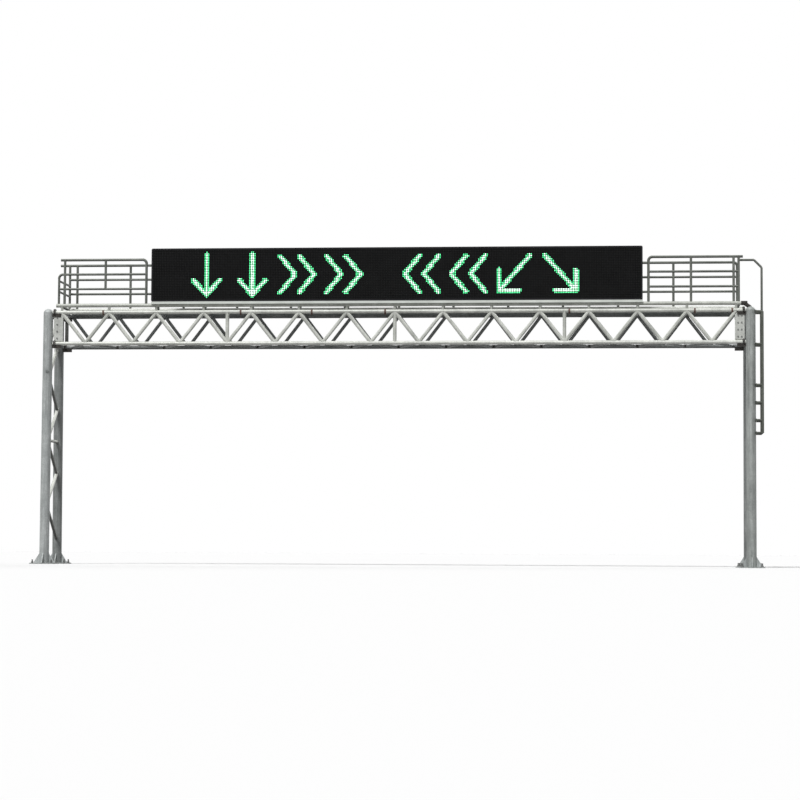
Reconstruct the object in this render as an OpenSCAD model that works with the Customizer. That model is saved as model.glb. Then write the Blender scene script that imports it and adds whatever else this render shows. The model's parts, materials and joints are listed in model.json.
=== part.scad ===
// Road gantry: a box truss of welded tube on two raked twin-column legs, with a long lamp-dot
// message sign, a railed walkway behind it and a climbing ladder on one leg.
// Millimetres. X runs along the span, the sign faces -Y, Z is up and the ground is Z 0.

/* [Span] */
// spacing of the truss joints along the span
bay = 1100; // [1000:10:1200]
// number of bays between the end joints
bays = 14; // [12:2:16]
// end joint of the truss to the column axis
end_reach = 320; // [300:5:360]

/* [Truss] */
// depth of the box truss between chord axes
truss_d = 1100; // [1000:10:1200]
// height of the box truss between chord axes
truss_h = 720; // [660:10:800]
// height of the lower chord axis over the ground
chord_z = 5060; // [4800:10:5500]
// outside of the chord tubes
chord_dia = 89; // [83:1:95]
// outside of the web tubes in the front and rear faces
web_dia = 76; // [70:1:79]
// outside of the tubes that brace the upper and lower faces
lace_dia = 60; // [54:1:66]
// outside of the uprights in the front and rear faces
prop_dia = 80; // [76:1:89]
// outside of the flange at each end of a chord
flange_dia = 160; // [152:1:166]
// thickness of the two bolted flanges
flange_t = 36; // [30:1:44]
// flange to the column beside it
flange_gap = 27; // [20:1:40]
// bays from midspan to the outer upright of a face
upright_bays = 3.5; // [2.5:1:4.5]
// thickness of the end and splice plates
plate_t = 16; // [12:1:20]
// distance from a chord axis to the edge of a splice plate
plate_clear = 62; // [58:1:64]
// front splice plate overlap inside the end joint
plate_in = 30; // [20:1:40]
// width of the rear splice strap inside the flanges
strap_w = 45; // [40:1:55]

/* [Legs] */
// outside of the columns
col_dia = 219; // [200:1:245]
// wall of the columns
col_wall = 8; // [6:1:12]
// each foot stands this far outside the chord line
lean = 85; // [60:1:120]
// rise of the domed column cap
cap_h = 86; // [70:1:95]
// side of the square base plate
foot_w = 560; // [520:10:580]
// thickness of the base plate
foot_t = 25; // [20:1:32]
// anchor hole axis to the edge of the base plate
anchor_edge = 60; // [50:1:70]
// anchor hole
anchor_dia = 36; // [30:1:40]
// height of the base gussets
gusset_h = 220; // [180:10:260]
// end of a base gusset to the edge of the base plate
gusset_edge = 40; // [30:1:50]
// thickness of the base gussets
gusset_t = 14; // [10:1:18]
// height step of the leg lacing
lacing_step = 740; // [700:10:760]
// outside of the leg lacing tubes
lacing_dia = 70; // [60:1:76]
// outside of the level struts in the legs
strut_dia = 64; // [60:1:68]

/* [Walkway] */
// outside of the upper bars
bearer_dia = 89; // [83:1:95]
// upper bar axis over the top chord axis
bearer_rise = 158; // [145:1:175]
// length of an upper bar past the left end joint
bearer_left = 135; // [125:5:150]
// length of an upper bar past the right end joint
bearer_right = 250; // [230:5:260]
// outside of the short posts under the upper bars
stub_dia = 60; // [55:1:66]
// width of the grating
deck_w = 520; // [480:10:540]
// thickness of the grating
deck_t = 30; // [25:1:35]
// spacing of the cross flats of the grating
deck_pitch = 220; // [200:10:240]
// width of the edge flats of the grating
deck_edge = 40; // [30:1:50]
// width of the cross flats of the grating
deck_flat = 24; // [20:1:30]
// end of the grating inside the end joint of the truss
deck_gap = 15; // [10:1:25]
// width of a walkway runner
runner_w = 50; // [40:1:60]
// height of a walkway runner
runner_h = 30; // [28:1:40]

/* [Handrails] */
// outside of the top rail and its bent end posts
rail_dia = 60; // [57:1:64]
// outside of the lower rails and of the closing post
mid_dia = 54; // [50:1:56]
// outside of the straight posts
post_dia = 57; // [55:1:59]
// outside of the lowest front left rail, the closing rails and the grab rail
low_dia = 50; // [46:1:53]
// height of the lowest rail over the upper bar axis
rail_low = 382; // [360:1:400]
// height of the middle rail over the upper bar axis
rail_mid = 720; // [700:1:740]
// height of the top rail over the upper bar axis
rail_top = 1054; // [1030:1:1100]
// outer post inside the end joint of the truss
post_inset = 55; // [50:1:60]
// post beside the sign to the end of the sign
post_gap = 130; // [110:1:150]
// closing rails of the left end under the rails that they meet
side_gap = 3; // [2:1:6]
// bend of the top rail into its end post
bend_r = 90; // [80:1:110]
// length of tube inside an elbow
elbow_in = 6; // [4:1:8]
// wall of the elbows over the tubes
elbow_lip = 2; // [2:0.5:3]
// loop of the middle rail and closing rails past the outer post
loop_over = 135; // [125:1:145]
// free end of the top rail past the outer post
free_over = 95; // [80:1:110]
// end post at the ladder past the outer post
gate_over = 112; // [105:1:130]
// spacing of the rear posts
rear_step = 1266; // [1200:2:1300]
// first rear post inside the left end joint of the truss
rear_inset = 100; // [80:1:120]
// left end of the rear top rail past its end post
rear_over = 220; // [200:1:240]

/* [Sign] */
// width of the sign
sign_w = 11220; // [10800:20:11300]
// height of the sign
sign_h = 1224; // [1100:4:1300]
// depth of the sign cabinet
sign_d = 240; // [220:5:260]
// front of the cabinet ahead of the front chord axis
sign_ahead = 90; // [70:5:100]
// corner radius of the cabinet
sign_r = 35; // [25:1:45]
// visible border around the lamp face
border = 38; // [36:1:50]
// lamp face set back from the border
face_in = 10; // [8:1:14]
// thickness of the lamp face
face_t = 30; // [25:1:40]
// height of the channel under the cabinet
channel_h = 55; // [50:1:62]
// thickness of the rear access doors
door_t = 18; // [14:1:22]
// margin around the row of rear doors
door_edge = 45; // [40:1:60]
// gap between neighbouring doors
door_gap = 12; // [10:1:16]
// depth of the gap between doors
door_groove = 8; // [6:1:10]
// section of the uprights behind the cabinet
upright_w = 60; // [50:1:70]

/* [Ladder] */
// stile axis outside the column axis
ladder_out = 248; // [235:1:250]
// spacing of the stiles
ladder_w = 400; // [360:5:440]
// outside of the stiles
stile_dia = 60; // [54:1:62]
// outside of the stand-off tubes
standoff_dia = 54; // [50:1:58]
// outside of the rungs
rung_dia = 30; // [28:1:34]
// top of the ladder below the top chord axis
ladder_drop = 50; // [40:1:60]
// length of the ladder
ladder_h = 2724; // [2600:4:2800]
// number of rung spaces
rung_spaces = 9; // [8:1:10]
// heights of the stand-offs as shares of the ladder height
standoff_shares = [0, 0.105, 0.25, 0.395, 0.73, 1];
// height of a stand-off flat
standoff_h = 70; // [64:1:80]
// thickness of a stand-off flat
standoff_t = 12; // [10:1:16]
// grab rail under the top rail
grab_drop = 82; // [70:1:100]
// corner cut of the grab rail
grab_cut = 170; // [150:5:190]

/* [Hidden] */
// sides of the true round tubes and of the lattice bars
fine = 24;
few = 8;
// overrun of every cut
over = 50;
half_len = bay * bays / 2;
col_x = half_len + end_reach;
chord_over = end_reach - col_dia / 2 - flange_gap - flange_t;
anchor_pitch = foot_w - 2 * anchor_edge;
gusset_w = foot_w / 2 - gusset_edge;
lacing_count = floor((chord_z - foot_t - gusset_h) / lacing_step);
top_z = chord_z + truss_h;
half_d = truss_d / 2;
head_z = top_z - lacing_dia;
foot_y = half_d + lean;
tilt = atan(lean / top_z);
col_len = sqrt(lean * lean + top_z * top_z);
bearer_z = top_z + bearer_rise;
bearer_len = 2 * half_len + bearer_left + bearer_right;
chan_top = bearer_z + bearer_dia / 2 + channel_h - bearer_dia / 4;
sign_top = chan_top + sign_h;
sign_y = -half_d - sign_ahead;
back_y = sign_y + sign_d;
door_y = back_y + door_t;
strut_top = top_z + lace_dia / 2;
deck_z = strut_top + runner_h;
post_out = half_len - post_inset;
post_in = sign_w / 2 + post_gap;
post_mid = (post_in + post_out) / 2;
side_drop = mid_dia + side_gap;
grab_rise = rail_top - grab_drop;
upright_reach = floor((sign_w / 2 - upright_w) / bay);
deck_len = 2 * (half_len - deck_gap);
deck_third = deck_len / 3;
deck_y1 = half_d - max(stub_dia, bearer_dia) / 2 - deck_edge / 2;
deck_y0 = deck_y1 - deck_w;
end_x = post_out + loop_over;
rear_x = rear_inset - half_len;
rear_last = floor((end_x - rear_x - rear_step / 2) / rear_step);
ladder_top = top_z - ladder_drop;
ladder_bot = ladder_top - ladder_h;
stile_x = col_x + ladder_out;
gate_x = post_out + gate_over;
cap_r = (col_dia * col_dia / 4 + cap_h * cap_h) / (2 * cap_h);

// straight bar between two points; turn 0 faces its flats up and down when it has few sides
module bar(p, q, d, n, turn = 0) {
    v = q - p;
    l = norm(v);
    w = n < fine ? d / cos(180 / n) : d;
    translate(p) rotate([0, acos(v[2] / l), atan2(v[1], v[0])])
        rotate([0, 0, 180 / n + turn]) cylinder(h = l, d = w, $fn = n);
}

// box between two corners
module block(p, q) {
    translate(p) cube(q - p);
}

// rod along the raked axis of a column
module col_rod(sx, sy, d) {
    translate([sx * col_x, sy * foot_y, 0]) rotate([sy * tilt, 0, 0])
        translate([0, 0, -over]) cylinder(h = col_len + 2 * over, d = d, $fn = 2 * fine);
}

module leg_rods(sx) {
    col_rod(sx, -1, col_dia);
    col_rod(sx, 1, col_dia);
}

module column(sx, sy) {
    color([0.62, 0.64, 0.64]) difference() {
        col_rod(sx, sy, col_dia);
        col_rod(sx, sy, col_dia - 2 * col_wall);
        translate([sx * col_x - col_dia, sy * foot_y - col_dia, foot_t - 3 * col_dia])
            cube([2 * col_dia, 2 * col_dia, 3 * col_dia]);
        translate([sx * col_x - col_dia, sy * half_d - col_dia, top_z])
            cube([2 * col_dia, 2 * col_dia, 3 * col_dia]);
    }
}

module cap(sx, sy) {
    color([0.62, 0.64, 0.64]) translate([sx * col_x, sy * half_d, top_z]) difference() {
        translate([0, 0, cap_h - cap_r]) sphere(r = cap_r, $fn = 2 * fine);
        translate([-col_dia, -col_dia, -2 * col_dia]) cube(2 * col_dia);
    }
}

module gusset() {
    rotate([90, 0, 0]) translate([0, 0, -gusset_t / 2]) linear_extrude(gusset_t)
        polygon([[0, 0], [gusset_w, 0], [gusset_w, gusset_t], [col_dia / 2, gusset_h], [0, gusset_h]]);
}

module foot(sx, sy) {
    color([0.55, 0.57, 0.57]) difference() {
        translate([sx * col_x, sy * foot_y, 0]) union() {
            difference() {
                translate([-foot_w / 2, -foot_w / 2, 0]) cube([foot_w, foot_w, foot_t]);
                for (i = [-1, 1], j = [-1, 1])
                    translate([i * anchor_pitch / 2, j * anchor_pitch / 2, -over])
                        cylinder(h = foot_t + 2 * over, d = anchor_dia, $fn = fine);
            }
            for (a = [0 : 90 : 270]) rotate([0, 0, a]) translate([0, 0, foot_t]) gusset();
        }
        intersection() {
            col_rod(sx, sy, col_dia);
            translate([sx * col_x - foot_w, sy * foot_y - foot_w, foot_t])
                cube([2 * foot_w, 2 * foot_w, 2 * gusset_h]);
        }
    }
}

function axis_y(sy, z) = sy * (half_d + lean * (1 - z / top_z));
function joint_y(sy, z) = axis_y(sy, z) - sy * (col_dia / 2 + lacing_dia / 3);

// lacing bar between two joints, run on into both columns
module lacing(sx, s, z0, z1, turn) {
    p = [sx * col_x, joint_y(s, z0), z0];
    q = [sx * col_x, joint_y(-s, z1), z1];
    u = (q - p) * col_dia / (2 * norm(q - p));
    bar(p - u, q + u, lacing_dia, few, turn);
}

// zigzag and cross struts between the two columns of a leg
module leg_lacing(sx) {
    color([0.66, 0.68, 0.68]) difference() {
        union() {
            for (k = [0 : lacing_count - 1])
                lacing(sx, k % 2 == 0 ? 1 : -1, chord_z - k * lacing_step, chord_z - (k + 1) * lacing_step,
                    k % 2 == 0 ? 0 : 180 / few);
            lacing(sx, 1, head_z, chord_z, 180 / few);
            for (z = [chord_z, chord_z - floor(lacing_count / 2) * lacing_step, head_z])
                bar([sx * col_x, -half_d, z], [sx * col_x, half_d, z], strut_dia, few);
        }
        leg_rods(sx);
    }
}

module chord_rod(s, z) {
    translate([-col_x, s * half_d, z]) rotate([0, 90, 0]) cylinder(h = 2 * col_x, d = chord_dia, $fn = fine);
}

// chord coped on to the two columns
module chord(s, z) {
    color([0.72, 0.74, 0.74]) difference() {
        chord_rod(s, z);
        for (e = [-1, 1]) col_rod(e, s, col_dia);
    }
}

module all_chords() {
    for (s = [-1, 1], z = [chord_z, top_z]) chord_rod(s, z);
}

// web of one side of the truss; the front one has an end plate at each end
module web(s) {
    zt = top_z - web_dia / 6;
    zb = chord_z + web_dia / 6;
    color([0.70, 0.72, 0.72]) difference() {
        union() {
            for (i = [0 : bays - 1]) {
                x = -half_len + (2 * i + 1) * bay / 2;
                for (e = [-1, 1])
                    bar([x, s * half_d, zb], [x + e * bay / 2, s * half_d, zt], web_dia, few,
                        e > 0 ? 0 : 180 / few);
            }
            for (k = [-1 : 1])
                bar([k * upright_bays * bay, s * half_d, zb], [k * upright_bays * bay, s * half_d, zt],
                    prop_dia, few);
            if (s < 0) for (e = [-1, 1])
                translate([e > 0 ? half_len - plate_in : -half_len - chord_over,
                           s * half_d - plate_t / 2, zb])
                    cube([chord_over + plate_in, plate_t, zt - zb]);
        }
        chord_rod(s, chord_z);
        chord_rod(s, top_z);
    }
}

// top face of the truss: a strut at every joint, each one a piece of tube between the chords
module top_lacing() {
    color([0.62, 0.64, 0.64]) difference() {
        for (i = [0 : bays])
            bar([-half_len + i * bay, -half_d, top_z], [-half_len + i * bay, half_d, top_z], lace_dia, few);
        faces_cut();
    }
}

// bottom face of the truss: a zigzag with joints at every half bay
module bottom_lacing() {
    color([0.62, 0.64, 0.64]) difference() {
        for (i = [0 : bays - 1]) {
            x = -half_len + (2 * i + 1) * bay / 2;
            for (e = [-1, 1])
                bar([x, -half_d, chord_z], [x + e * bay / 2, half_d, chord_z], lace_dia, few);
        }
        faces_cut();
    }
}

// room that the two sides take from the lacing
module faces_cut() {
    all_chords();
    for (s = [-1, 1])
        block([-half_len - bay, s > 0 ? half_d : -half_d - bay, chord_z - bay],
              [half_len + bay, s > 0 ? half_d + bay : -half_d, top_z + bay]);
}

// bolted flanges of one chord end
module flange(sx, s, z) {
    translate([sx > 0 ? half_len + chord_over : -half_len - chord_over - flange_t, s * half_d, z])
        rotate([0, 90, 0]) cylinder(h = flange_t, d = flange_dia, $fn = fine);
}

// wide plate over the front truss end, or the narrow strap at the rear
module splice_plate(sx, s) {
    inner = half_len + (s < 0 ? -plate_in : chord_over - strap_w);
    outer = half_len + chord_over + flange_t;
    y = s * (half_d + plate_t);
    block([sx > 0 ? inner : -outer, y - plate_t / 2, chord_z + plate_clear],
          [sx > 0 ? outer : -inner, y + plate_t / 2, top_z - plate_clear]);
}

// plates and chord flanges that join one truss end to the chord stubs of a leg
module splice(sx) {
    color([0.72, 0.74, 0.74]) difference() {
        for (s = [-1, 1]) {
            splice_plate(sx, s);
            for (z = [chord_z, top_z]) flange(sx, s, z);
        }
        all_chords();
    }
}

module bearer_rod(s) {
    translate([-half_len - bearer_left, s * half_d, bearer_z]) rotate([0, 90, 0])
        cylinder(h = bearer_len, d = bearer_dia, $fn = fine);
}

// upper bar on its short posts
module bearer(s) {
    color([0.72, 0.74, 0.74]) difference() {
        union() {
            bearer_rod(s);
            for (i = [0 : bays])
                bar([-half_len + i * bay, s * half_d, top_z], [-half_len + i * bay, s * half_d, bearer_z],
                    stub_dia, few);
        }
        chord_rod(s, top_z);
        block([-half_len - bay, s * half_d - chord_dia, top_z - bay],
              [half_len + bay, s * half_d + chord_dia, top_z]);
    }
}

module runner(y) {
    color([0.60, 0.62, 0.62])
        block([-half_len, y - runner_w / 2, strut_top], [half_len, y + runner_w / 2, deck_z]);
}

// one third of the grating
module deck(k) {
    n = floor((deck_third - deck_edge) / deck_pitch);
    step = (deck_third - deck_flat) / n;
    color([0.60, 0.62, 0.62]) translate([k * deck_third - deck_third / 2, deck_y0, deck_z])
        linear_extrude(deck_t) difference() {
            square([deck_third, deck_w]);
            for (i = [0 : n - 1], j = [0, 1])
                translate([deck_flat + i * step, deck_edge + j * (deck_w - deck_edge) / 2])
                    square([step - deck_flat, (deck_w - deck_edge) / 2 - deck_edge]);
        }
}

function rail_z(h) = bearer_z + h;

// quarter elbow in the XZ plane from a level rail into a post, e gives the side of the post
module bend(x, y, z, e, d) {
    translate([x - e * bend_r, y, z - bend_r]) rotate([90, 0, 0])
        rotate([0, 0, e > 0 ? 0 : 90]) rotate_extrude(angle = 90, $fn = 2 * fine)
            translate([bend_r, 0]) circle(d = d + 2 * elbow_lip, $fn = fine);
}

module rail_x(x0, x1, y, h, d) {
    bar([x0, y, rail_z(h)], [x1, y, rail_z(h)], d, fine);
}

module post(x, y, z0, z1, d) {
    bar([x, y, z0], [x, y, z1], d, fine);
}

module front_left_solid() {
    y = -half_d;
    xl = -end_x;
    rail_x(-post_out - free_over, -post_in - bend_r + elbow_in, y, rail_top, rail_dia);
    bend(-post_in, y, rail_z(rail_top), 1, rail_dia);
    post(-post_in, y, bearer_z, rail_z(rail_top) - bend_r + elbow_in, rail_dia);
    rail_x(xl + bend_r - elbow_in, -post_in, y, rail_mid, mid_dia);
    bend(xl, y, rail_z(rail_mid), -1, mid_dia);
    post(xl, y, bearer_z, rail_z(rail_mid) - bend_r + elbow_in, mid_dia);
    rail_x(xl, -post_in, y, rail_low, low_dia);
    post(-post_out, y, bearer_z, rail_z(rail_top), post_dia);
    post(-post_mid, y, rail_z(rail_low), rail_z(rail_top), post_dia);
}

module front_left_rail() {
    color([0.66, 0.68, 0.66]) difference() {
        front_left_solid();
        bearer_rod(-1);
    }
}

module front_right_solid() {
    y = -half_d;
    rail_x(post_in + bend_r - elbow_in, gate_x + free_over, y, rail_top, rail_dia);
    bend(post_in, y, rail_z(rail_top), -1, rail_dia);
    post(post_in, y, bearer_z, rail_z(rail_top) - bend_r + elbow_in, rail_dia);
    for (h = [rail_low, rail_mid]) rail_x(post_in, gate_x, y, h, mid_dia);
    for (x = [post_mid, post_out, gate_x]) post(x, y, bearer_z, rail_z(rail_top), post_dia);
}

module front_right_rail() {
    color([0.66, 0.68, 0.66]) difference() {
        front_right_solid();
        bearer_rod(-1);
    }
}

module rear_solid() {
    y = half_d;
    rail_x(-end_x - rear_over, end_x - bend_r + elbow_in, y, rail_top, rail_dia);
    bend(end_x, y, rail_z(rail_top), 1, rail_dia);
    post(end_x, y, bearer_z, rail_z(rail_top) - bend_r + elbow_in, rail_dia);
    for (h = [rail_low, rail_mid]) rail_x(-end_x, end_x, y, h, mid_dia);
    post(-end_x, y, bearer_z, rail_z(rail_top), post_dia);
    for (i = [0 : rear_last]) post(rear_x + i * rear_step, y, bearer_z, rail_z(rail_top), post_dia);
}

module rear_rail() {
    color([0.58, 0.60, 0.58]) difference() {
        rear_solid();
        bearer_rod(1);
    }
}

// closing rails at the left end on a tie between the upper bars, each set just under the rails that it meets
module side_rail() {
    x = -end_x;
    z = rail_z(rail_mid - bend_r) - side_drop;
    color([0.60, 0.62, 0.60]) difference() {
        union() {
            bar([x, -half_d, bearer_z], [x, half_d, bearer_z], stub_dia, fine);
            for (h = [rail_z(rail_low) - side_drop, z]) bar([x, -half_d, h], [x, half_d, h], low_dia, fine);
            post(x, 0, bearer_z, z, mid_dia);
        }
        post(x, -half_d, bearer_z, sign_top, mid_dia);
        post(x, half_d, bearer_z, sign_top, post_dia);
        bearer_rod(-1);
        bearer_rod(1);
    }
}

module end_tie() {
    x = end_x;
    color([0.60, 0.62, 0.60]) difference() {
        bar([x, -half_d, bearer_z], [x, half_d, bearer_z], stub_dia, fine);
        bearer_rod(-1);
        bearer_rod(1);
    }
}

// light channel between the upper bar and the cabinet
module sign_channel() {
    color([0.80, 0.81, 0.81]) difference() {
        block([-sign_w / 2, sign_y, chan_top - channel_h], [sign_w / 2, back_y, chan_top]);
        bearer_rod(-1);
    }
}

module sign_cabinet() {
    color([0.09, 0.09, 0.10]) difference() {
        union() {
            block([-sign_w / 2, sign_y, chan_top + sign_r], [sign_w / 2, back_y, sign_top - sign_r]);
            block([-sign_w / 2 + sign_r, sign_y, chan_top], [sign_w / 2 - sign_r, back_y, sign_top]);
            for (i = [-1, 1], z = [chan_top + sign_r, sign_top - sign_r])
                translate([i * (sign_w / 2 - sign_r), sign_y, z]) rotate([-90, 0, 0])
                    cylinder(h = sign_d, r = sign_r, $fn = fine);
        }
        block([-sign_w / 2 + border, sign_y - over, chan_top + border],
              [sign_w / 2 - border, sign_y + face_in + face_t, sign_top - border]);
    }
}

module sign_face() {
    color([0.05, 0.05, 0.06])
        block([-sign_w / 2 + border, sign_y + face_in, chan_top + border],
              [sign_w / 2 - border, sign_y + face_in + face_t, sign_top - border]);
}

// rear skin of the cabinet, with a groove around each access door
module sign_doors() {
    w = 2 * upright_reach * bay;
    color([0.45, 0.47, 0.48]) difference() {
        block([-w / 2, back_y, chan_top + door_edge], [w / 2, door_y, sign_top - door_edge]);
        for (i = [1 : 2 * upright_reach - 1])
            for (e = [-1, 1])
                translate([-w / 2 + i * bay + e * (upright_w / 2 + door_gap) - door_gap / 2,
                           door_y - door_groove, chan_top])
                    cube([door_gap, door_groove + over, sign_h]);
    }
}

// uprights and two cross members behind the cabinet, standing on the truss struts
module sign_frame() {
    color([0.64, 0.66, 0.66]) union() {
        for (i = [-upright_reach : upright_reach])
            block([i * bay - upright_w / 2, door_y, strut_top],
                  [i * bay + upright_w / 2, door_y + upright_w, sign_top - door_edge]);
        for (z = [chan_top + door_edge, sign_top - door_edge - upright_w])
            block([-upright_reach * bay, door_y, z],
                  [upright_reach * bay, door_y + upright_w, z + upright_w]);
    }
}

// ladder on the outer side of the front column of the right leg
module ladder_solid() {
    y = -half_d;
    for (e = [-1, 1]) {
        bar([stile_x, y + e * ladder_w / 2, ladder_bot], [stile_x, y + e * ladder_w / 2, ladder_top],
            stile_dia, fine);
        for (k = standoff_shares)
            bar([col_x + col_dia / 2, y + e * ladder_w / 2, ladder_bot + k * ladder_h],
                [stile_x, y + e * ladder_w / 2, ladder_bot + k * ladder_h], standoff_dia, few);
    }
    for (i = [0 : rung_spaces])
        bar([stile_x, y - ladder_w / 2, ladder_bot + i * ladder_h / rung_spaces],
            [stile_x, y + ladder_w / 2, ladder_bot + i * ladder_h / rung_spaces], rung_dia, few);
    for (k = standoff_shares)
        block([col_x + col_dia / 2 - standoff_t / 2, y - ladder_w / 2 - stile_dia / 2,
               ladder_bot + k * ladder_h - standoff_h / 2],
              [col_x + col_dia / 2 + standoff_t / 2, y + ladder_w / 2 + stile_dia / 2,
               ladder_bot + k * ladder_h + standoff_h / 2]);
}

module ladder() {
    color([0.66, 0.68, 0.66]) difference() {
        ladder_solid();
        col_rod(1, -1, col_dia);
    }
}

// bent hand hold from the rail at the right end down to the top rung
module grab_rail() {
    y = -half_d;
    z = rail_z(grab_rise);
    color([0.66, 0.68, 0.66]) difference() {
        union() {
            bar([gate_x, y, z], [stile_x - grab_cut, y, z], low_dia, few);
            bar([stile_x - grab_cut, y, z], [stile_x, y, z - grab_cut], low_dia, few);
            bar([stile_x, y, z - grab_cut], [stile_x, y, ladder_top], low_dia, few);
        }
        post(gate_x, y, bearer_z, sign_top, post_dia);
        bar([stile_x, y - ladder_w, ladder_top], [stile_x, y + ladder_w, ladder_top], rung_dia, few);
        block([stile_x - grab_cut, y - bay, ladder_bot], [stile_x + grab_cut, y + bay, ladder_top]);
        block([post_mid, y - bay, ladder_bot], [gate_x, y + bay, sign_top]);
    }
}

column(-1, -1);  // left_front_column
column(-1, 1);  // left_rear_column
column(1, -1);  // right_front_column
column(1, 1);  // right_rear_column
cap(-1, -1);  // left_front_cap
cap(-1, 1);  // left_rear_cap
cap(1, -1);  // right_front_cap
cap(1, 1);  // right_rear_cap
foot(-1, -1);  // left_front_foot
foot(-1, 1);  // left_rear_foot
foot(1, -1);  // right_front_foot
foot(1, 1);  // right_rear_foot
leg_lacing(-1);  // left_leg_lacing
leg_lacing(1);  // right_leg_lacing
chord(-1, top_z);  // front_top_chord
chord(-1, chord_z);  // front_bottom_chord
chord(1, top_z);  // rear_top_chord
chord(1, chord_z);  // rear_bottom_chord
web(-1);  // truss_front_web
web(1);  // truss_rear_web
top_lacing();  // truss_top
bottom_lacing();  // truss_bottom
splice(-1);  // left_splice
splice(1);  // right_splice
bearer(-1);  // front_bearer
bearer(1);  // rear_bearer
runner(deck_y0 + runner_w / 2);  // front_runner
runner(deck_y1 - runner_w / 2);  // rear_runner
deck(-1);  // deck_left
deck(0);  // deck_middle
deck(1);  // deck_right
front_left_rail();
front_right_rail();
rear_rail();
side_rail();  // left_side_rail
end_tie();  // right_end_tie
sign_channel();
sign_cabinet();
sign_face();
sign_doors();
sign_frame();
ladder();
grab_rail();
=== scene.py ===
"""Looks of the message sign gantry: weathered zinc tube with painted light and shade, black lamp face with
lit arrows, bolts, grating.
"""
import json
import math

import bpy
from mathutils import Matrix, Vector


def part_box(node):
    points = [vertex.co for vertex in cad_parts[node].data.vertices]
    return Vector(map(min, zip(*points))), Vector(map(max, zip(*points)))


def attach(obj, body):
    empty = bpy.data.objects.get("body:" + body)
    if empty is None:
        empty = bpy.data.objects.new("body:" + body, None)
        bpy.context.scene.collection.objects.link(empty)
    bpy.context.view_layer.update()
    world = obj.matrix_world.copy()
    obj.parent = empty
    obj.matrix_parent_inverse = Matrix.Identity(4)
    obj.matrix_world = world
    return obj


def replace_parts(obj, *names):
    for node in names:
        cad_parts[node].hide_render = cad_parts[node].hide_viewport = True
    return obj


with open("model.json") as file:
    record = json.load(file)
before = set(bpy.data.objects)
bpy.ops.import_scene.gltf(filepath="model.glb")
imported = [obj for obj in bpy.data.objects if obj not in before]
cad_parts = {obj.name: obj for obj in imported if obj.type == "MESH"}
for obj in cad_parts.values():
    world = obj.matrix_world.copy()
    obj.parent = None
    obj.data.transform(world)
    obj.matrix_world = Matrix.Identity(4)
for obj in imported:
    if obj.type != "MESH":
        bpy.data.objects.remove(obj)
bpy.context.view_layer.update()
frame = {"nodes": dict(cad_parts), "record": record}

# units, a tolerance, and the sides of hexagons and round pieces

NODES = frame["nodes"]
MM = 0.001
NEAR = 1 * MM
HEX = 6
ROUND = 24


# small helpers

def mesh_piece(name, verts, faces, material):
    """A mesh object that rides on the gantry, with the material it is given."""
    mesh = bpy.data.meshes.new(name)
    mesh.from_pydata(verts, [], faces)
    mesh.update()
    obj = bpy.data.objects.new(name, mesh)
    bpy.context.scene.collection.objects.link(obj)
    obj.data.materials.append(material)
    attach(obj, "root")
    return obj


class Soup:
    """Vertices and faces of many small solids that make one piece."""

    def __init__(self):
        self.verts, self.faces = [], []

    def add(self, verts, faces):
        """One more solid, its faces counting from its own first vertex."""
        base = len(self.verts)
        self.verts += [tuple(v) for v in verts]
        self.faces += [tuple(base + i for i in f) for f in faces]

    def box(self, low, high):
        """A box between two opposite corners."""
        (x0, y0, z0), (x1, y1, z1) = low, high
        self.add([(x0, y0, z0), (x1, y0, z0), (x1, y1, z0), (x0, y1, z0),
                  (x0, y0, z1), (x1, y0, z1), (x1, y1, z1), (x0, y1, z1)],
                 [(3, 2, 1, 0), (4, 5, 6, 7), (0, 1, 5, 4), (1, 2, 6, 5), (2, 3, 7, 6), (3, 0, 4, 7)])

    def prism(self, start, end, radius, sides, dome=0.0):
        """A closed prism from start to end, with a shallow domed end if dome is over 0."""
        start, end = Vector(start), Vector(end)
        axis = (end - start).normalized()
        side = axis.orthogonal().normalized()
        other = axis.cross(side)
        angles = [2 * math.pi * i / sides for i in range(sides)]
        ring = [(side * math.cos(a) + other * math.sin(a)) * radius for a in angles]
        verts = [start + r for r in ring] + [end + r for r in ring]
        faces = [tuple(reversed(range(sides)))]
        faces += [(i, (i + 1) % sides, sides + (i + 1) % sides, sides + i) for i in range(sides)]
        if dome > 0:
            verts.append(end + axis * dome)
            faces += [(sides + i, sides + (i + 1) % sides, 2 * sides) for i in range(sides)]
        else:
            faces.append(tuple(range(sides, 2 * sides)))
        self.add(verts, faces)

    def piece(self, name, material, slot):
        """The finished piece in the scene."""
        return mesh_piece(name, self.verts, self.faces, material)


def corners(name, keep):
    """Corner points of a CAD node that pass a test, in metres."""
    return [v.co.copy() for v in NODES[name].data.vertices if keep(v.co)]


def spread(low, high, count):
    """Even places between two ends, both ends included."""
    return [low + (high - low) * i / (count - 1) for i in range(count)]


# materials

def new_material(name):
    """A material with its node tree and its surface node."""
    mat = bpy.data.materials.new(name)
    mat.use_nodes = True
    tree = mat.node_tree
    return mat, tree, tree.nodes["Principled BSDF"]


def node(tree, kind, **inputs):
    """A shader node with set inputs, spaces in their names written as underscores."""
    made = tree.nodes.new(kind)
    for key, value in inputs.items():
        made.inputs[key.replace("_", " ")].default_value = value
    return made


def ramp(tree, source, stops):
    """A colour ramp on a value, stops being (place, colour) pairs from low to high."""
    stops = list(stops)
    scale = tree.nodes.new("ShaderNodeValToRGB")
    elements = scale.color_ramp.elements
    while len(elements) < len(stops):
        elements.new(0.5)
    for element, (place, colour) in zip(elements, stops):
        element.position = place
        element.color = (*colour, 1.0)
    tree.links.new(source, scale.inputs["Fac"])
    return scale.outputs["Color"]


def grey_ramp(tree, source, stops):
    """A ramp of greys on a value, stops being (place, level) pairs from low to high."""
    return ramp(tree, source, [(place, (level,) * 3) for place, level in stops])


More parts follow.
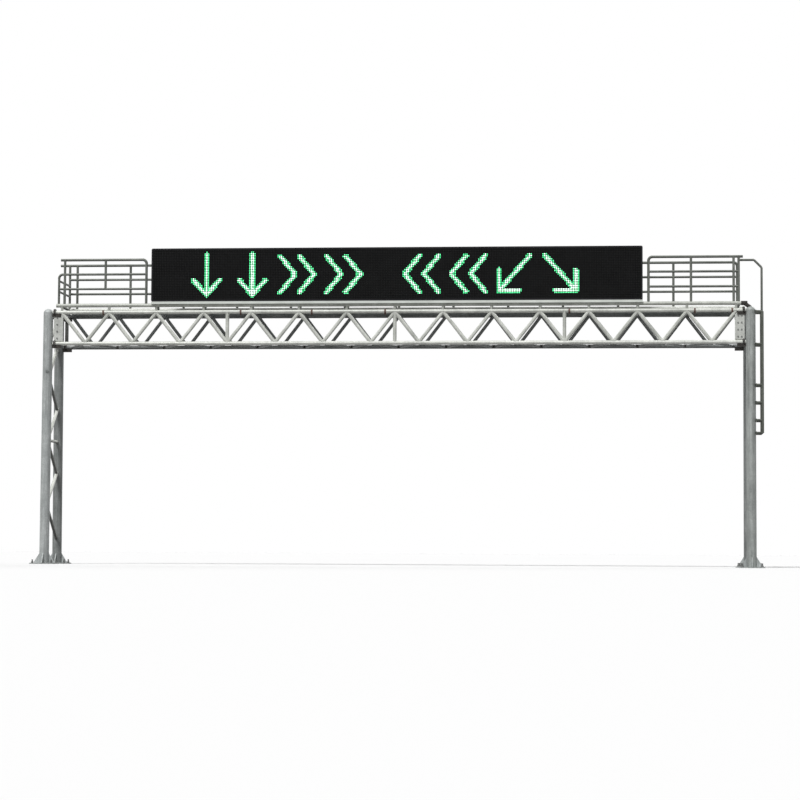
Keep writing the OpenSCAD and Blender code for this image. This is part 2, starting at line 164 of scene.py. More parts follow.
def times(tree, first, second):
    """The product of two colours."""
    mix = tree.nodes.new("ShaderNodeMix")
    mix.data_type, mix.blend_type = "RGBA", "MULTIPLY"
    mix.inputs[0].default_value = 1.0
    tree.links.new(first, mix.inputs[6])
    tree.links.new(second, mix.inputs[7])
    return mix.outputs[2]


def upward(tree):
    """How far a surface faces up, from 0 facing the ground to 1 facing the sky."""
    geometry = tree.nodes.new("ShaderNodeNewGeometry")
    parts = tree.nodes.new("ShaderNodeSeparateXYZ")
    level = node(tree, "ShaderNodeMapRange", From_Min=-1.0, From_Max=1.0)
    tree.links.new(geometry.outputs["Normal"], parts.inputs["Vector"])
    tree.links.new(parts.outputs["Z"], level.inputs["Value"])
    return level.outputs["Result"]


# half the depth over which the rear shade sets in, in metres
REAR_BLEND = 0.1


def rear_shade(tree, place, level):
    """Full brightness ahead of the middle of the truss, and a share of it behind."""
    parts = tree.nodes.new("ShaderNodeSeparateXYZ")
    tree.links.new(place.outputs["Object"], parts.inputs["Vector"])
    side = node(tree, "ShaderNodeMapRange", From_Min=-REAR_BLEND, From_Max=REAR_BLEND)
    tree.links.new(parts.outputs["Y"], side.inputs["Value"])
    return grey_ramp(tree, side.outputs["Result"], [(0.0, 1.0), (1.0, level)])


# weathering that all tones of zinc share, and the painted light and shade by which way a surface faces;
# places lie on a ramp from 0 to 1
SPANGLE_SCALE = 38.0
SPANGLE_STOPS = [(0.0, 0.86), (0.55, 1.0), (1.0, 1.14)]
CLOUD_SCALE, CLOUD_DETAIL, CLOUD_ROUGH = 2.6, 6.0, 0.6
CLOUD_PLACES = (0.30, 0.52, 0.74)
CLOUD_LOW, CLOUD_HIGH = 0.3, 0.7
SMOOTHER, ROUGHER = 0.08, 0.10
RUN_STRETCH = (22.0, 22.0, 1.1)
RUN_DETAIL, RUN_ROUGH = 4.0, 0.55
RUN_PLACES = (0.34, 0.55)
RUN_DEPTH = 0.30
# painted shade on the undersides and flanks, painted light on the tops
UNDER_PLACE, FLANK_PLACE, SIDE_PLACE, TOP_PLACE = 0.05, 0.34, 0.52, 0.90
FLANK_BASE, FLANK_SHARE = 0.30, 0.65
SIDE_LEVEL, TOP_LEVEL = 0.90, 1.12
ZINC_METAL, ZINC_SHINE = 0.12, 0.35


def zinc(name, dark, mid, pale, rough, streak, under=0.34, rear=1.0):
    """Weathered hot-dip zinc: spangle, clouds and runs, with tops painted lighter and undersides and rear
    painted darker.
    """
    mat, tree, bsdf = new_material(name)
    place = node(tree, "ShaderNodeTexCoord")
    spangle = node(tree, "ShaderNodeTexVoronoi", Scale=SPANGLE_SCALE)
    cloud = node(tree, "ShaderNodeTexNoise", Scale=CLOUD_SCALE, Detail=CLOUD_DETAIL, Roughness=CLOUD_ROUGH)
    runs = node(tree, "ShaderNodeTexNoise", Scale=1.0, Detail=RUN_DETAIL, Roughness=RUN_ROUGH)
    stretch = node(tree, "ShaderNodeMapping", Scale=RUN_STRETCH)
    for target in (spangle, cloud, stretch):
        tree.links.new(place.outputs["Object"], target.inputs["Vector"])
    tree.links.new(stretch.outputs["Vector"], runs.inputs["Vector"])
    base = ramp(tree, cloud.outputs["Fac"], zip(CLOUD_PLACES, (dark, mid, pale)))
    speck = grey_ramp(tree, spangle.outputs["Distance"], SPANGLE_STOPS)
    wash = grey_ramp(tree, runs.outputs["Fac"], zip(RUN_PLACES, (1.0 - RUN_DEPTH * streak, 1.0)))
    # painted light and shade: undersides darker, tops lighter
    painted_facing_light = grey_ramp(tree, upward(tree),
                      [(UNDER_PLACE, under), (FLANK_PLACE, FLANK_SHARE * under + FLANK_BASE),
                       (SIDE_PLACE, SIDE_LEVEL), (TOP_PLACE, TOP_LEVEL)])
    colour = times(tree, times(tree, times(tree, base, speck), wash), painted_facing_light)
    # painted shade behind the middle of the truss
    if rear < 1.0:
        colour = times(tree, colour, rear_shade(tree, place, rear))
    tree.links.new(colour, bsdf.inputs["Base Color"])
    roughness = node(tree, "ShaderNodeMapRange", From_Min=CLOUD_LOW, From_Max=CLOUD_HIGH,
                     To_Min=rough - SMOOTHER, To_Max=rough + ROUGHER)
    tree.links.new(cloud.outputs["Fac"], roughness.inputs["Value"])
    tree.links.new(roughness.outputs["Result"], bsdf.inputs["Roughness"])
    bsdf.inputs["Metallic"].default_value = ZINC_METAL
    bsdf.inputs["Specular IOR Level"].default_value = ZINC_SHINE
    return mat


# uneven fading of painted sheet
PAINT_DETAIL, PAINT_ROUGH = 7.0, 0.62
PAINT_PLACES = (0.32, 0.68)


def paint(name, dark, pale, rough, scale, shine=0.5):
    """Painted sheet with a little uneven fading and dust."""
    mat, tree, bsdf = new_material(name)
    place = node(tree, "ShaderNodeTexCoord")
    cloud = node(tree, "ShaderNodeTexNoise", Scale=scale, Detail=PAINT_DETAIL, Roughness=PAINT_ROUGH)
    tree.links.new(place.outputs["Object"], cloud.inputs["Vector"])
    faded = ramp(tree, cloud.outputs["Fac"], zip(PAINT_PLACES, (dark, pale)))
    tree.links.new(faded, bsdf.inputs["Base Color"])
    bsdf.inputs["Roughness"].default_value = rough
    bsdf.inputs["Specular IOR Level"].default_value = shine
    return mat


# wandering colour of the lit lamps
GLOW_SCALE, GLOW_DETAIL = 14.0, 3.0
GLOW_PLACES = (0.34, 0.56)
GLOW_ROUGH = 0.35


def lamp_glow(name, core, edge, strength):
    """Lit lamps: the colour wanders a little between two greens from lamp to lamp."""
    mat, tree, bsdf = new_material(name)
    place = node(tree, "ShaderNodeTexCoord")
    noise = node(tree, "ShaderNodeTexNoise", Scale=GLOW_SCALE, Detail=GLOW_DETAIL)
    tree.links.new(place.outputs["Object"], noise.inputs["Vector"])
    tint = ramp(tree, noise.outputs["Fac"], zip(GLOW_PLACES, (edge, core)))
    tree.links.new(tint, bsdf.inputs["Emission Color"])
    tree.links.new(tint, bsdf.inputs["Base Color"])
    bsdf.inputs["Emission Strength"].default_value = strength
    bsdf.inputs["Roughness"].default_value = GLOW_ROUGH
    return mat


# tones of zinc and paint: dark, middle and pale tone of each, or dark and pale; the darker copies of zinc are
# painted shade
TRUSS_TONES = ((0.46, 0.475, 0.44), (0.62, 0.635, 0.59), (0.76, 0.775, 0.73))
ZINC_COLUMN = zinc("zinc_column", (0.36, 0.385, 0.38), (0.47, 0.495, 0.49), (0.59, 0.615, 0.61),
                   rough=0.52, streak=1.0)
# a darker copy of the column zinc for the right front column: painted shade
COLUMN_PAINTED_SHADE_ZINC = zinc("zinc_dull", (0.31, 0.33, 0.32), (0.40, 0.425, 0.41), (0.51, 0.535, 0.52),
                 rough=0.52, streak=1.0)
# darker zinc: painted shade on the rear columns and caps, and the own dull tone of the column cover
DARK_AND_PAINTED_SHADE_ZINC = zinc("zinc_shade", (0.19, 0.205, 0.20), (0.265, 0.28, 0.275), (0.35, 0.365, 0.36),
                  rough=0.52, streak=1.0)
ZINC_TRUSS = zinc("zinc_truss", *TRUSS_TONES, rough=0.45, streak=0.4, under=0.92)
# truss zinc with its undersides painted almost black: painted shade on the leg lacing
LACE_PAINTED_SHADE_ZINC = zinc("zinc_lace", *TRUSS_TONES, rough=0.45, streak=0.4, under=0.02)
# splice zinc with painted shade on the rear strap
SPLICE_PAINTED_SHADE_ZINC = zinc("zinc_splice", (0.44, 0.455, 0.43), (0.58, 0.595, 0.56), (0.72, 0.735, 0.70),
                   rough=0.45, streak=0.4, under=0.92, rear=0.14)
ZINC_BAR = zinc("zinc_bar", (0.37, 0.385, 0.35), (0.48, 0.495, 0.455), (0.59, 0.605, 0.565),
                rough=0.48, streak=0.5, under=0.92)
# a darker copy of the zinc for the rear of the truss: painted shade
REAR_PAINTED_SHADE_ZINC = zinc("zinc_rear", (0.19, 0.20, 0.195), (0.265, 0.28, 0.275), (0.36, 0.375, 0.37),
                 rough=0.50, streak=0.6)
ZINC_RAIL = zinc("zinc_rail", (0.115, 0.126, 0.110), (0.165, 0.176, 0.157), (0.245, 0.260, 0.235),
                 rough=0.48, streak=0.6)
ZINC_LADDER = zinc("zinc_ladder", (0.078, 0.086, 0.072), (0.112, 0.121, 0.103), (0.165, 0.177, 0.152),
                   rough=0.48, streak=0.6)
ZINC_GRATE = zinc("zinc_grate", (0.22, 0.235, 0.23), (0.31, 0.325, 0.32), (0.42, 0.435, 0.43),
                  rough=0.58, streak=0.6)
ZINC_BOLT = zinc("zinc_bolt", (0.13, 0.135, 0.13), (0.20, 0.205, 0.20), (0.31, 0.32, 0.31),
                 rough=0.50, streak=0.4)
RUST_CLAMP = paint("rust_clamp", (0.085, 0.055, 0.048), (0.19, 0.12, 0.10), rough=0.70, scale=40.0, shine=0.2)
# near black for the flange joints, seats, gussets and saddle: their own dark with painted shade
JOINT_BLACK_AND_PAINTED_SHADE = paint("dark_joint", (0.022, 0.021, 0.020), (0.060, 0.055, 0.050),
                   rough=0.75, scale=25.0, shine=0.2)
BLACK_CABINET = paint("black_cabinet", (0.007, 0.007, 0.008), (0.016, 0.016, 0.018),
                      rough=0.55, scale=2.0, shine=0.15)
BLACK_FACE = paint("black_face", (0.0035, 0.0035, 0.0037), (0.0075, 0.0077, 0.0080),
                   rough=0.75, scale=4.0, shine=0.05)
DARK_LAMP = paint("dark_lamp", (0.0030, 0.0032, 0.0033), (0.0165, 0.0170, 0.0168),
                  rough=0.50, scale=30.0, shine=0.08)
GREY_DOOR = paint("grey_door", (0.24, 0.255, 0.262), (0.33, 0.345, 0.352), rough=0.46, scale=1.6)
GREY_CHANNEL = paint("grey_channel", (0.57, 0.60, 0.56), (0.73, 0.76, 0.72), rough=0.45, scale=2.2)
LAMP_CORE = lamp_glow("lamp_core", (0.80, 1.0, 0.90), (0.36, 0.84, 0.46), strength=2.0)
LAMP_EDGE = lamp_glow("lamp_edge", (0.08, 0.66, 0.26), (0.02, 0.47, 0.14), strength=2.1)

# the first part of a name that fits gives a CAD node its material
BY_NAME = [
    # the rear columns and caps, the right front column, the leg lacing, the splice straps and the rear of the
    # truss take zinc with painted shade
    ("_rear_column", DARK_AND_PAINTED_SHADE_ZINC), ("_rear_cap", DARK_AND_PAINTED_SHADE_ZINC),
    ("right_front_column", COLUMN_PAINTED_SHADE_ZINC), ("right_front_cap", COLUMN_PAINTED_SHADE_ZINC),
    ("_column", ZINC_COLUMN), ("_cap", ZINC_COLUMN), ("_foot", ZINC_COLUMN), ("_leg_lacing", LACE_PAINTED_SHADE_ZINC),
    ("rear_top_chord", REAR_PAINTED_SHADE_ZINC), ("rear_bottom_chord", REAR_PAINTED_SHADE_ZINC), ("rear_bearer", ZINC_TRUSS),
    ("truss_rear_web", REAR_PAINTED_SHADE_ZINC), ("truss_top", REAR_PAINTED_SHADE_ZINC), ("truss_bottom", REAR_PAINTED_SHADE_ZINC),
    ("_chord", ZINC_TRUSS), ("truss_", ZINC_TRUSS), ("_splice", SPLICE_PAINTED_SHADE_ZINC), ("_bearer", ZINC_BAR),
    ("_runner", ZINC_GRATE), ("deck_", ZINC_GRATE), ("_rail", ZINC_RAIL), ("_end_tie", ZINC_RAIL),
    ("ladder", ZINC_LADDER), ("sign_channel", GREY_CHANNEL), ("sign_cabinet", BLACK_CABINET),
    ("sign_face", BLACK_FACE), ("sign_doors", GREY_DOOR), ("sign_frame", ZINC_GRATE),
]

for name, obj in NODES.items():
    material = next(mat for part, mat in BY_NAME if part in name)
    for material_slot in obj.material_slots:
        material_slot.material = material


# lamp face: rows of domed lamps, some lit as generic lane arrows and chevrons

face_low, face_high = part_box("sign_face")
FACE_FRONT = face_low[1]
LAMP_ROWS = 30
LAMP_PITCH = (face_high[2] - face_low[2]) / LAMP_ROWS
LAMP_COLUMNS = int((face_high[0] - face_low[0]) / LAMP_PITCH)
LAMP_LEFT = (face_low[0] + face_high[0]) / 2 - LAMP_COLUMNS * LAMP_PITCH / 2
LAMP_R_SHARE = 0.36
LAMP_R = LAMP_R_SHARE * LAMP_PITCH
LAMP_SIDES = 6
LAMP_STEM = 4 * MM
LAMP_DOME = 4 * MM

# each sign is drawn by straight strokes in a square cell from -1 to 1
DOWN = [((0, 0.95), (0, -0.9)), ((0, -0.95), (-0.62, -0.25)), ((0, -0.95), (0.62, -0.25))]
SLANT = [((0.75, 0.85), (-0.65, -0.75)), ((-0.7, -0.8), (-0.7, 0.15)), ((-0.7, -0.8), (0.25, -0.8))]
CHEVRON = [((-0.85, 0.85), (-0.15, 0.0)), ((-0.85, -0.85), (-0.15, 0.0)), ((0.05, 0.85), (0.75, 0.0)),
           ((0.05, -0.85), (0.75, 0.0))]


def flipped(strokes):
    """The same strokes mirrored left to right."""
    return [((-x0, y0), (-x1, y1)) for (x0, y0), (x1, y1) in strokes]


# two groups of four cells, their left ends, cells and strokes in metres
CELL_SIZE = 1.06
CELL_FILL_SHARE = 0.46
STROKE_HALF = 0.062
STROKE_CORE = 0.030
LEFT_GROUP_X, RIGHT_GROUP_X = -4.86, 0.06
LEFT_GROUP = (LEFT_GROUP_X, [DOWN, DOWN, CHEVRON, CHEVRON])
RIGHT_GROUP = (RIGHT_GROUP_X, [flipped(CHEVRON), flipped(CHEVRON), SLANT, flipped(SLANT)])


def stroke_distance(point, strokes, centre, half):
    """Distance from a point of the face to the nearest stroke of a cell."""
    best = CELL_SIZE
    for start, end in strokes:
        a = centre + Vector(start) * half
        along = centre + Vector(end) * half - a
        share = max(0.0, min(1.0, (point - a).dot(along) / along.length_squared))
        best = min(best, (point - a - along * share).length)
    return best


def lamp_face():
    """Every lamp of the face: dark, or lit at the core or the edge of a stroke."""
    middle = (face_low[2] + face_high[2]) / 2
    cells = [(Vector((left + (i + 0.5) * CELL_SIZE, middle)), strokes)
             for left, signs in (LEFT_GROUP, RIGHT_GROUP) for i, strokes in enumerate(signs)]
    dark, core, edge = Soup(), Soup(), Soup()
    for column in range(LAMP_COLUMNS):
        x = LAMP_LEFT + (column + 0.5) * LAMP_PITCH
        here = [cell for cell in cells if abs(x - cell[0][0]) < CELL_SIZE / 2]
        for row in range(LAMP_ROWS):
            z = face_low[2] + (row + 0.5) * LAMP_PITCH
            away = min([stroke_distance(Vector((x, z)), strokes, centre, CELL_SIZE * CELL_FILL_SHARE)
                        for centre, strokes in here], default=CELL_SIZE)
            target = core if away < STROKE_CORE else edge if away < STROKE_HALF else dark
            target.prism((x, FACE_FRONT, z), (x, FACE_FRONT - LAMP_STEM, z), LAMP_R, LAMP_SIDES, LAMP_DOME)
    dark.piece("lamps_dark", DARK_LAMP, "lamp_face")
    core.piece("lamps_core", LAMP_CORE, "lamp_face")
    edge.piece("lamps_edge", LAMP_EDGE, "lamp_face")


lamp_face()


# places of the truss, taken from the frame

chord_low, chord_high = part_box("front_top_chord")
bottom_chord_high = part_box("front_bottom_chord")[1]
CHORD_R = (chord_high[2] - chord_low[2]) / 2
CHORD_Y = -(chord_low[1] + chord_high[1]) / 2
CHORD_LEVELS = [bottom_chord_high[2] - CHORD_R, chord_high[2] - CHORD_R]
runner_low, runner_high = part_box("front_runner")
BAYS = 14
BAY = (runner_high[0] - runner_low[0]) / BAYS
BAY_START = runner_low[0]


# bolts of the end splices, dark flange joints and the seats under the chord ends; joints and seats are near
# black, their own dark with painted shade

BOLT_R, BOLT_H = 19 * MM, 14 * MM
PLATE_BOLTS = 4
PLATE_MARGIN = 60 * MM
FLANGE_BOLTS = 8
FLANGE_BOLT_R, FLANGE_BOLT_H = 13 * MM, 12 * MM
JOINT_OUT = 1.5 * MM
SEAT_IN, SEAT_W, SEAT_H, SEAT_LAP = 50 * MM, 84 * MM, 70 * MM, 12 * MM
LEFT_ROWS = [135 * MM]
RIGHT_ROWS = [70 * MM, 150 * MM]


def splice_fixings(name, side, rows, bolts, joints):
    """Hex heads on the splice plates of one end, with the flange joints and seats of its four chords."""
    low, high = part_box(name)
    free_x = low[0] if side > 0 else high[0]
    edge = corners(name, lambda p: abs(p.x - free_x) < NEAR)
    plate_y = max(abs(p.y) for p in edge)
    foot, head = min(p.z for p in edge), max(p.z for p in edge)
    rims = [p.x for p in corners(name, lambda p: abs(p.y) > plate_y + NEAR)]
    inner, outer = min(rims, key=abs), max(rims, key=abs)
    strap_x = min((p.x for p in corners(name, lambda p: p.y > 0)), key=abs)
    heads = [(free_x + side * row, -plate_y) for row in rows] + [((strap_x + inner) / 2, plate_y)]
    for x, y in heads:
        for z in spread(foot + PLATE_MARGIN, head - PLATE_MARGIN, PLATE_BOLTS):
            bolts.prism((x, y, z), (x, y + math.copysign(BOLT_H, y), z), BOLT_R, HEX)
    flange_r = high[1] - CHORD_Y
    circle = (flange_r + CHORD_R) / 2
    seat_x = sorted((free_x + side * SEAT_IN, outer + side * SEAT_IN))
    for y in (-CHORD_Y, CHORD_Y):
        for z in CHORD_LEVELS:
            joints.prism((inner + side * JOINT_OUT, y, z), (outer - side * JOINT_OUT, y, z),
                         flange_r + JOINT_OUT, ROUND)
            seat_top = z - CHORD_R + SEAT_LAP
            joints.box((seat_x[0], y - SEAT_W / 2, seat_top - SEAT_H), (seat_x[1], y + SEAT_W / 2, seat_top))
            for i in range(FLANGE_BOLTS):
                a = 2 * math.pi * (i + 0.5) / FLANGE_BOLTS
                at = (y + circle * math.cos(a), z + circle * math.sin(a))
                bolts.prism((inner - side * FLANGE_BOLT_H, *at), (outer + side * FLANGE_BOLT_H, *at),
                            FLANGE_BOLT_R, HEX)


splice_bolts, chord_joints = Soup(), Soup()
splice_fixings("left_splice", -1, LEFT_ROWS, splice_bolts, chord_joints)
splice_fixings("right_splice", 1, RIGHT_ROWS, splice_bolts, chord_joints)
splice_bolts.piece("splice_bolts", ZINC_BOLT, "galvanised_steel")
chord_joints.piece("chord_joints", JOINT_BLACK_AND_PAINTED_SHADE, "galvanised_steel")


# rusty strap clamps on the upper front chord

# places in bays from the left end
CLAMP_BAY_SHARES = [0.88, 3.78, 5.27, 6.80, 10.60, 13.16, 13.92]
CLAMP_W = 40 * MM
CLAMP_T = 5 * MM
CLAMP_EAR = 26 * MM

clamps = Soup()
for share in CLAMP_BAY_SHARES:
    x = BAY_START + share * BAY
    clamps.prism((x - CLAMP_W / 2, -CHORD_Y, CHORD_LEVELS[1]), (x + CLAMP_W / 2, -CHORD_Y, CHORD_LEVELS[1]),
                 CHORD_R + CLAMP_T, ROUND)
    clamps.box((x - CLAMP_W / 2, -CHORD_Y - CLAMP_T, CHORD_LEVELS[1] - CHORD_R - CLAMP_EAR),
               (x + CLAMP_W / 2, -CHORD_Y + CLAMP_T, CHORD_LEVELS[1] - CHORD_R))
clamps.piece("chord_clamps", RUST_CLAMP, "galvanised_steel")


# round tubes of the rear web, a plain zigzag that stands for the node with the three uprights

WEB_R = 38 * MM
WEB_END_SHARE = 0.4

rear_web = Soup()
for i in range(BAYS):
    foot = Vector((BAY_START + (i + 0.5) * BAY, CHORD_Y, CHORD_LEVELS[0]))
    for side in (-0.5, 0.5):
        head = Vector((foot.x + side * BAY, CHORD_Y, CHORD_LEVELS[1]))
        inset = (head - foot).normalized() * WEB_END_SHARE * CHORD_R
        rear_web.prism(foot + inset, head - inset, WEB_R, ROUND)
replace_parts(rear_web.piece("rear_web_tubes", REAR_PAINTED_SHADE_ZINC, "galvanised_steel"), "truss_rear_web")


# gussets where the bottom zigzag meets the rear chord, near black with painted shade

GUSSET_W, GUSSET_D, GUSSET_H, GUSSET_LAP = 80 * MM, 60 * MM, 70 * MM, 15 * MM

gussets = Soup()
gusset_back = CHORD_Y - CHORD_R + GUSSET_LAP
for i in range(1, BAYS):
    x = BAY_START + i * BAY
    gussets.box((x - GUSSET_W / 2, gusset_back - GUSSET_D, CHORD_LEVELS[0] - GUSSET_H / 2),
                (x + GUSSET_W / 2, gusset_back, CHORD_LEVELS[0] + GUSSET_H / 2))
gussets.piece("lace_gussets", JOINT_BLACK_AND_PAINTED_SHADE, "galvanised_steel")


# saddle that ties the right end of the front upper bar down to the column head, near black with painted shade

bar_low, bar_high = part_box("front_bearer")
cap_low, cap_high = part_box("right_front_cap")
UPPER_BAR_R = (bar_high[1] - bar_low[1]) / 2
UPPER_BAR_Z = bar_high[2] - UPPER_BAR_R
SADDLE_W, SADDLE_T, SADDLE_IN = 140 * MM, 5 * MM, 30 * MM

saddle = Soup()
saddle.prism((bar_high[0] - SADDLE_W, -CHORD_Y, UPPER_BAR_Z), (bar_high[0], -CHORD_Y, UPPER_BAR_Z),
             UPPER_BAR_R + SADDLE_T, ROUND)
saddle.prism((bar_high[0] - SADDLE_W / 2, -CHORD_Y, UPPER_BAR_Z),
             ((cap_low[0] + cap_high[0]) / 2, -CHORD_Y, cap_high[2] - SADDLE_IN), UPPER_BAR_R, ROUND)
saddle.piece("bar_saddle", JOINT_BLACK_AND_PAINTED_SHADE, "galvanised_steel")


# round cover on the left front column

# height over the ground, and turn from straight ahead towards the middle
COVER_Z = 4.41
COVER_TURN = math.radians(11.0)
COVER_R, COVER_T, COVER_DOME = 38 * MM, 8 * MM, 3 * MM

col_low, col_high = (Vector(c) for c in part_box("left_front_column"))
COL_R = (col_high.x - col_low.x) / 2
foot_axis = Vector((col_low.x + COL_R, col_low.y + COL_R, col_low.z))
head_axis = Vector((col_low.x + COL_R, col_high.y - COL_R, col_high.z))
cover_at = foot_axis.lerp(head_axis, (COVER_Z - col_low.z) / (col_high.z - col_low.z))
outward = Vector((math.sin(COVER_TURN), -math.cos(COVER_TURN), 0.0))
cover = Soup()
cover.prism(cover_at + outward * (COL_R - COVER_T), cover_at + outward * (COL_R + COVER_T),
            COVER_R, ROUND, COVER_DOME)
cover.piece("column_cover", DARK_AND_PAINTED_SHADE_ZINC, "galvanised_steel")


# anchor studs, washers and nuts of the base plates

PLATE_TOP = min(p.z for p in corners("left_front_foot", lambda p: p.z > NEAR))
WASHER_R, WASHER_T = 36 * MM, 6 * MM
NUT_R, NUT_H = 29 * MM, 27 * MM
STUD_R, STUD_H, STUD_FOOT = 16.5 * MM, 80 * MM, 2 * MM

anchors = Soup()
for mount in frame["record"]["mounts"]:
    if mount["kind"] != "bolt_pattern":
        continue
    half_x = mount["dims"]["spacing_x_mm"] * MM / 2
    half_y = mount["dims"]["spacing_y_mm"] * MM / 2
    for sx in (-half_x, half_x):
        for sy in (-half_y, half_y):
            x, y = mount["pos_m"][0] + sx, mount["pos_m"][1] + sy
            level = PLATE_TOP
            for radius, height, sides in ((WASHER_R, WASHER_T, ROUND), (NUT_R, NUT_H, HEX)):
                anchors.prism((x, y, level), (x, y, level + height), radius, sides)
                level += height
            anchors.prism((x, y, STUD_FOOT), (x, y, PLATE_TOP + STUD_H), STUD_R, ROUND)
anchors.piece("anchor_nuts", ZINC_BOLT, "galvanised_steel")


# bearing flats and cross rods of the grating

FLAT_PITCH = 33 * MM
FLAT_T = 4 * MM
FLAT_TOP = 2 * MM
FLAT_DEPTH = 24 * MM
ROD_PITCH = 100 * MM
ROD_T = 6 * MM

grating = Soup()
for name in ("deck_left", "deck_middle", "deck_right"):
    low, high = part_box(name)
    top = high[2] - FLAT_TOP
    flat_count = int((high[1] - low[1]) / FLAT_PITCH)
    for y in spread(low[1] + FLAT_T, high[1] - FLAT_T, flat_count):
        grating.box((low[0], y - FLAT_T / 2, top - FLAT_DEPTH), (high[0], y + FLAT_T / 2, top))
    rod_count = int((high[0] - low[0]) / ROD_PITCH)
    for x in spread(low[0] + ROD_T, high[0] - ROD_T, rod_count):
        grating.box((x - ROD_T / 2, low[1], top - ROD_T), (x + ROD_T / 2, high[1], top))
grating.piece("grating_bars", ZINC_GRATE, "grating_steel")


# handles, hinges and louvres of the rear access doors

door_low, door_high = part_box("sign_doors")
upright_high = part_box("sign_frame")[1]
DOOR_BACK = door_high[1]
DOOR_COUNT = round((door_high[0] - door_low[0]) / BAY)
UPRIGHT_HALF = upright_high[0] - door_high[0]
HINGES, HINGE_R, HINGE_H, HINGE_IN, HINGE_SIDES = 3, 9 * MM, 110 * MM, 36 * MM, 12
HANDLE_IN, HANDLE_H, HANDLE_W, HANDLE_T = 90 * MM, 130 * MM, 26 * MM, 22 * MM
LOUVRES, LOUVRE_STEP, LOUVRE_W, LOUVRE_H, LOUVRE_T = 7, 26 * MM, 420 * MM, 13 * MM, 9 * MM
VENT_RISE = 190 * MM

hinges, louvres = Soup(), Soup()
for i in range(DOOR_COUNT):
    left = door_low[0] + i * BAY + UPRIGHT_HALF
    right = left + BAY - 2 * UPRIGHT_HALF
    middle_x, middle_z = (left + right) / 2, (door_low[2] + door_high[2]) / 2
    for z in spread(door_low[2] + VENT_RISE, door_high[2] - VENT_RISE, HINGES):
        hinges.prism((left + HINGE_IN, DOOR_BACK, z - HINGE_H / 2),
                     (left + HINGE_IN, DOOR_BACK, z + HINGE_H / 2), HINGE_R, HINGE_SIDES)
    handle_x = right - HANDLE_IN
    hinges.box((handle_x - HANDLE_W / 2, DOOR_BACK, middle_z - HANDLE_H / 2),
               (handle_x + HANDLE_W / 2, DOOR_BACK + HANDLE_T, middle_z + HANDLE_H / 2))
    for k in range(LOUVRES):
        z = door_low[2] + VENT_RISE + k * LOUVRE_STEP
        louvres.box((middle_x - LOUVRE_W / 2, DOOR_BACK, z),
                    (middle_x + LOUVRE_W / 2, DOOR_BACK + LOUVRE_T, z + LOUVRE_H))
hinges.piece("door_hinges", ZINC_BOLT, "galvanised_steel")
louvres.piece("door_louvres", GREY_DOOR, "door_grey")


# camera at the photograph's angle

# fitted to the photograph: focal length in pixels, place in metres, turns in degrees
IMAGE_PX = 800
SENSOR_MM = 36.0
FOCAL_PX = 2385.1
CAMERA_AT = (4.957, -54.361, 0.35)
CLIP_END = 600.0
YAW, PITCH, ROLL = math.radians(5.129), math.radians(3.609), math.radians(0.301)

camera = bpy.data.cameras.new("camera")
camera.sensor_width = SENSOR_MM
camera.lens = FOCAL_PX / IMAGE_PX * SENSOR_MM
camera.clip_end = CLIP_END
camera_object = bpy.data.objects.new("camera", camera)
turn = (Matrix.Rotation(YAW, 4, "Z") @ Matrix.Rotation(math.pi / 2 + PITCH, 4, "X")
        @ Matrix.Rotation(ROLL, 4, "Z"))
camera_object.matrix_world = Matrix.Translation(CAMERA_AT) @ turn
bpy.context.scene.collection.objects.link(camera_object)
bpy.context.scene.camera = camera_object


# pale floor, white surroundings and soft light

def seen_directly(tree):
    """1 on rays from the camera and on mirrored or refracted ones, 0 on light that falls on the object."""
    paths = tree.nodes.new("ShaderNodeLightPath")
    value = paths.outputs["Is Camera Ray"]
    for kind in ("Is Glossy Ray", "Is Transmission Ray"):
        either = tree.nodes.new("ShaderNodeMath")
        either.operation = "MAXIMUM"
        tree.links.new(value, either.inputs[0])
        tree.links.new(paths.outputs[kind], either.inputs[1])
        value = either.outputs["Value"]
    return value


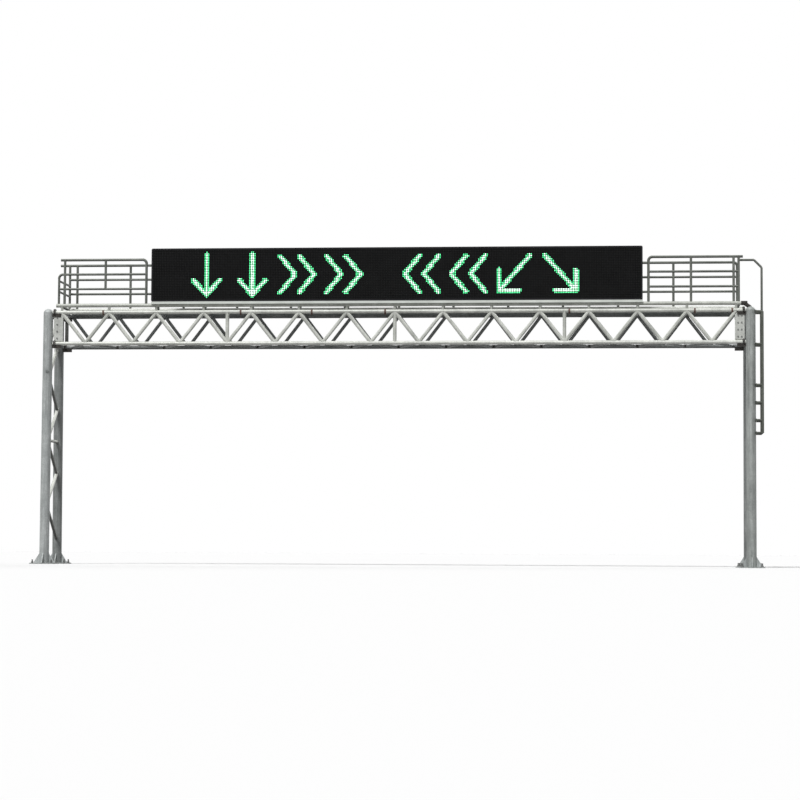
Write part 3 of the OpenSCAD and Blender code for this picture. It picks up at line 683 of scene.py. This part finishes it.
# what the camera sees is brighter than the light that floor and sky give
FLOOR_HALF = 220.0
FLOOR_BOUNCE = 0.30
FLOOR_SEEN = 0.90
FLOOR_ROUGH = 0.9
SKY_LEVEL = 0.30

floor_mesh = bpy.data.meshes.new("floor")
floor_mesh.from_pydata([(-FLOOR_HALF, -FLOOR_HALF, 0), (FLOOR_HALF, -FLOOR_HALF, 0),
                        (FLOOR_HALF, FLOOR_HALF, 0), (-FLOOR_HALF, FLOOR_HALF, 0)], [], [(0, 1, 2, 3)])
floor = bpy.data.objects.new("floor", floor_mesh)
bpy.context.scene.collection.objects.link(floor)
floor_mat, floor_tree, floor_bsdf = new_material("pale_floor")
floor_level = grey_ramp(floor_tree, seen_directly(floor_tree), [(0.0, FLOOR_BOUNCE), (1.0, FLOOR_SEEN)])
floor_tree.links.new(floor_level, floor_bsdf.inputs["Base Color"])
floor_bsdf.inputs["Roughness"].default_value = FLOOR_ROUGH
floor_bsdf.inputs["Specular IOR Level"].default_value = 0.0
floor.data.materials.append(floor_mat)

world = bpy.data.worlds.new("studio")
bpy.context.scene.world = world
world.use_nodes = True
world_tree = world.node_tree
background = world_tree.nodes["Background"]
background.inputs["Color"].default_value = (1.0, 1.0, 1.0, 1.0)
sky = node(world_tree, "ShaderNodeMapRange", To_Min=SKY_LEVEL, To_Max=1.0)
world_tree.links.new(seen_directly(world_tree), sky.inputs["Value"])
world_tree.links.new(sky.outputs["Result"], background.inputs["Strength"])


def sun(name, energy, angle, azimuth, elevation):
    """A sun lamp that shines from an azimuth (0 from -Y, 90 from +X) and an elevation, in degrees."""
    light = bpy.data.lights.new(name, "SUN")
    light.energy = energy
    light.angle = math.radians(angle)
    obj = bpy.data.objects.new(name, light)
    a, e = math.radians(azimuth), math.radians(elevation)
    toward = Vector((math.sin(a) * math.cos(e), -math.cos(a) * math.cos(e), math.sin(e)))
    obj.rotation_euler = toward.to_track_quat("Z", "Y").to_euler()
    bpy.context.scene.collection.objects.link(obj)


sun("key", energy=2.75, angle=12.0, azimuth=-20.0, elevation=50.0)
sun("back", energy=0.7, angle=30.0, azimuth=150.0, elevation=35.0)
bpy.context.scene.view_settings.view_transform = "Standard"
